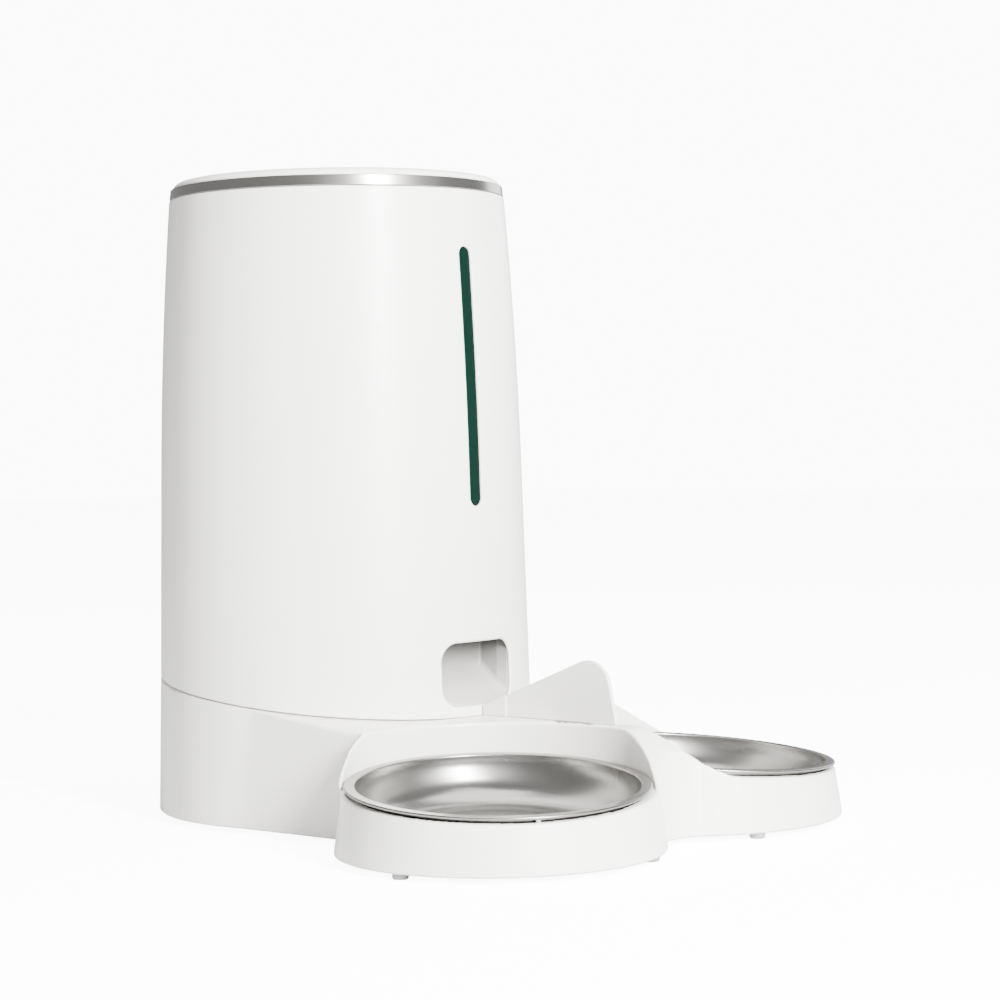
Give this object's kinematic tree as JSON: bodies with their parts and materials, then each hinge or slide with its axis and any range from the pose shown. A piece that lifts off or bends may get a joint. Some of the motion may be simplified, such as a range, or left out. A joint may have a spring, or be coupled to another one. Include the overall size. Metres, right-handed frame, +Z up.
{
  "type": "automatic pet feeder",
  "caption": "Round tapering food tower with a lid, a window slit and a low outlet, on a base that holds round steel bowls on either side of a food splitter.",
  "frame": {"origin": "on the floor, under the middle of the footprint's bounding box", "axes": "+Z up; -Y towards the bowls and the food outlet, which is the front; +X to the right seen from the front"},
  "size_m": [0.3088, 0.3588, 0.3413],
  "materials": {
    "white_shell": "satin",
    "white_inner": "satin",
    "splitter_plastic": "satin",
    "grey_plastic": "satin",
    "bowl_steel": "brushed",
    "ring_metal": "brushed",
    "window_green": "gloss",
    "hopper_clear": "gloss",
    "silicone": "matte",
    "foot_rubber": "matte",
    "gear_plastic": "satin",
    "shaft_steel": "machined",
    "bronze": "machined",
    "motor_metal": "satin",
    "board_green": "satin",
    "black_plastic": "matte",
    "cell_wrap": "gloss",
    "lead_red": "satin",
    "light_green": "gloss",
    "desiccant_blue": "matte"
  },
  "bodies": {
    "housing": {"base_shell": "white_shell", "bottom_cover": "white_inner", "battery_box": "white_inner", "batteries": "cell_wrap", "battery_springs": "shaft_steel", "battery_plates": "shaft_steel", "main_board": "board_green", "control_board": "board_green", "status_light": "light_green", "power_inlet": "black_plastic", "speaker": "black_plastic", "rubber_feet": "foot_rubber", "tray_pads": "silicone", "tower_shell": "white_shell", "window_lens": "window_green", "support_deck": "white_inner", "rotor_housing": "white_inner", "deck_bush": "bronze", "lower_bush": "bronze", "idler_pin": "shaft_steel", "gear_plate": "shaft_steel", "motor": "motor_metal", "motor_leads": "lead_red", "chute": "white_inner", "sensor_emitter": "black_plastic", "sensor_receiver": "black_plastic", "cover_screws": "shaft_steel", "tower_screws": "shaft_steel", "deck_screws": "shaft_steel", "gear_screws": "shaft_steel", "motor_screws": "shaft_steel", "board_screws": "shaft_steel", "hopper_gasket": "silicone"},
    "rotor": {"portion_rotor": "grey_plastic", "rotor_wipers": "silicone", "agitator": "grey_plastic", "drive_shaft": "shaft_steel", "output_gear": "gear_plastic"},
    "idler": {"idler_gear": "gear_plastic"},
    "pinion": {"motor_pinion": "gear_plastic"},
    "food_hopper": {"hopper": "hopper_clear", "portion_shield": "white_inner"},
    "lid": {"lid_cover": "white_shell", "lid_ring": "ring_metal", "lid_seal": "silicone", "desiccant_holder": "white_inner", "desiccant_pack": "desiccant_blue"},
    "lid_cap": {"desiccant_cap": "white_inner"},
    "bowl_left": {"left_bowl": "bowl_steel"},
    "bowl_right": {"right_bowl": "bowl_steel"},
    "food_splitter": {"splitter": "splitter_plastic"},
    "button": {"feed_button": "grey_plastic"},
    "cell_door": {"battery_door": "white_inner"}
  },
  "joints": [
    {"name": "rotor_spin", "type": "hinge", "parent": "housing", "child": "rotor", "pos_m": [0, 0.0772, 0.15], "axis": [0, 0, 1], "continuous": true},
    {"name": "idler_spin", "type": "hinge", "parent": "housing", "child": "idler", "pos_m": [0, 0.1162, 0.116], "axis": [0, 0, 1], "continuous": true},
    {"name": "pinion_spin", "type": "hinge", "parent": "housing", "child": "pinion", "pos_m": [0, 0.1372, 0.116], "axis": [0, 0, 1], "continuous": true},
    {"name": "hopper_lift", "type": "slide", "parent": "housing", "child": "food_hopper", "axis": [0, 0, 1], "range_m": [0, 0.18]},
    {"name": "lid_lift", "type": "slide", "parent": "food_hopper", "child": "lid", "axis": [0, 0, 1], "range_m": [0, 0.12]},
    {"name": "cap_twist", "type": "hinge", "parent": "lid", "child": "lid_cap", "pos_m": [0, 0.0772, 0.32], "axis": [0, 0, 1], "range_deg": [0, 30]},
    {"name": "left_bowl_lift", "type": "slide", "parent": "housing", "child": "bowl_left", "axis": [-0.0498, -0.0629, 0.9968], "range_m": [0, 0.06]},
    {"name": "right_bowl_lift", "type": "slide", "parent": "housing", "child": "bowl_right", "axis": [0.0498, -0.0629, 0.9968], "range_m": [0, 0.06]},
    {"name": "splitter_lift", "type": "slide", "parent": "housing", "child": "food_splitter", "axis": [0, 0, 1], "range_m": [0, 0.03]},
    {"name": "button_press", "type": "slide", "parent": "housing", "child": "button", "axis": [0, -1, 0], "range_m": [0, 0.0012], "stiffness_N_per_m": 900, "springref_m": -0.0004},
    {"name": "battery_door_open", "type": "slide", "parent": "housing", "child": "cell_door", "axis": [0, 0, -1], "range_m": [0, 0.02]}
  ],
  "couplings": [
    {"joint": "idler_spin", "follows": "rotor_spin", "ratio": -1.6},
    {"joint": "pinion_spin", "follows": "rotor_spin", "ratio": 4}
  ]
}
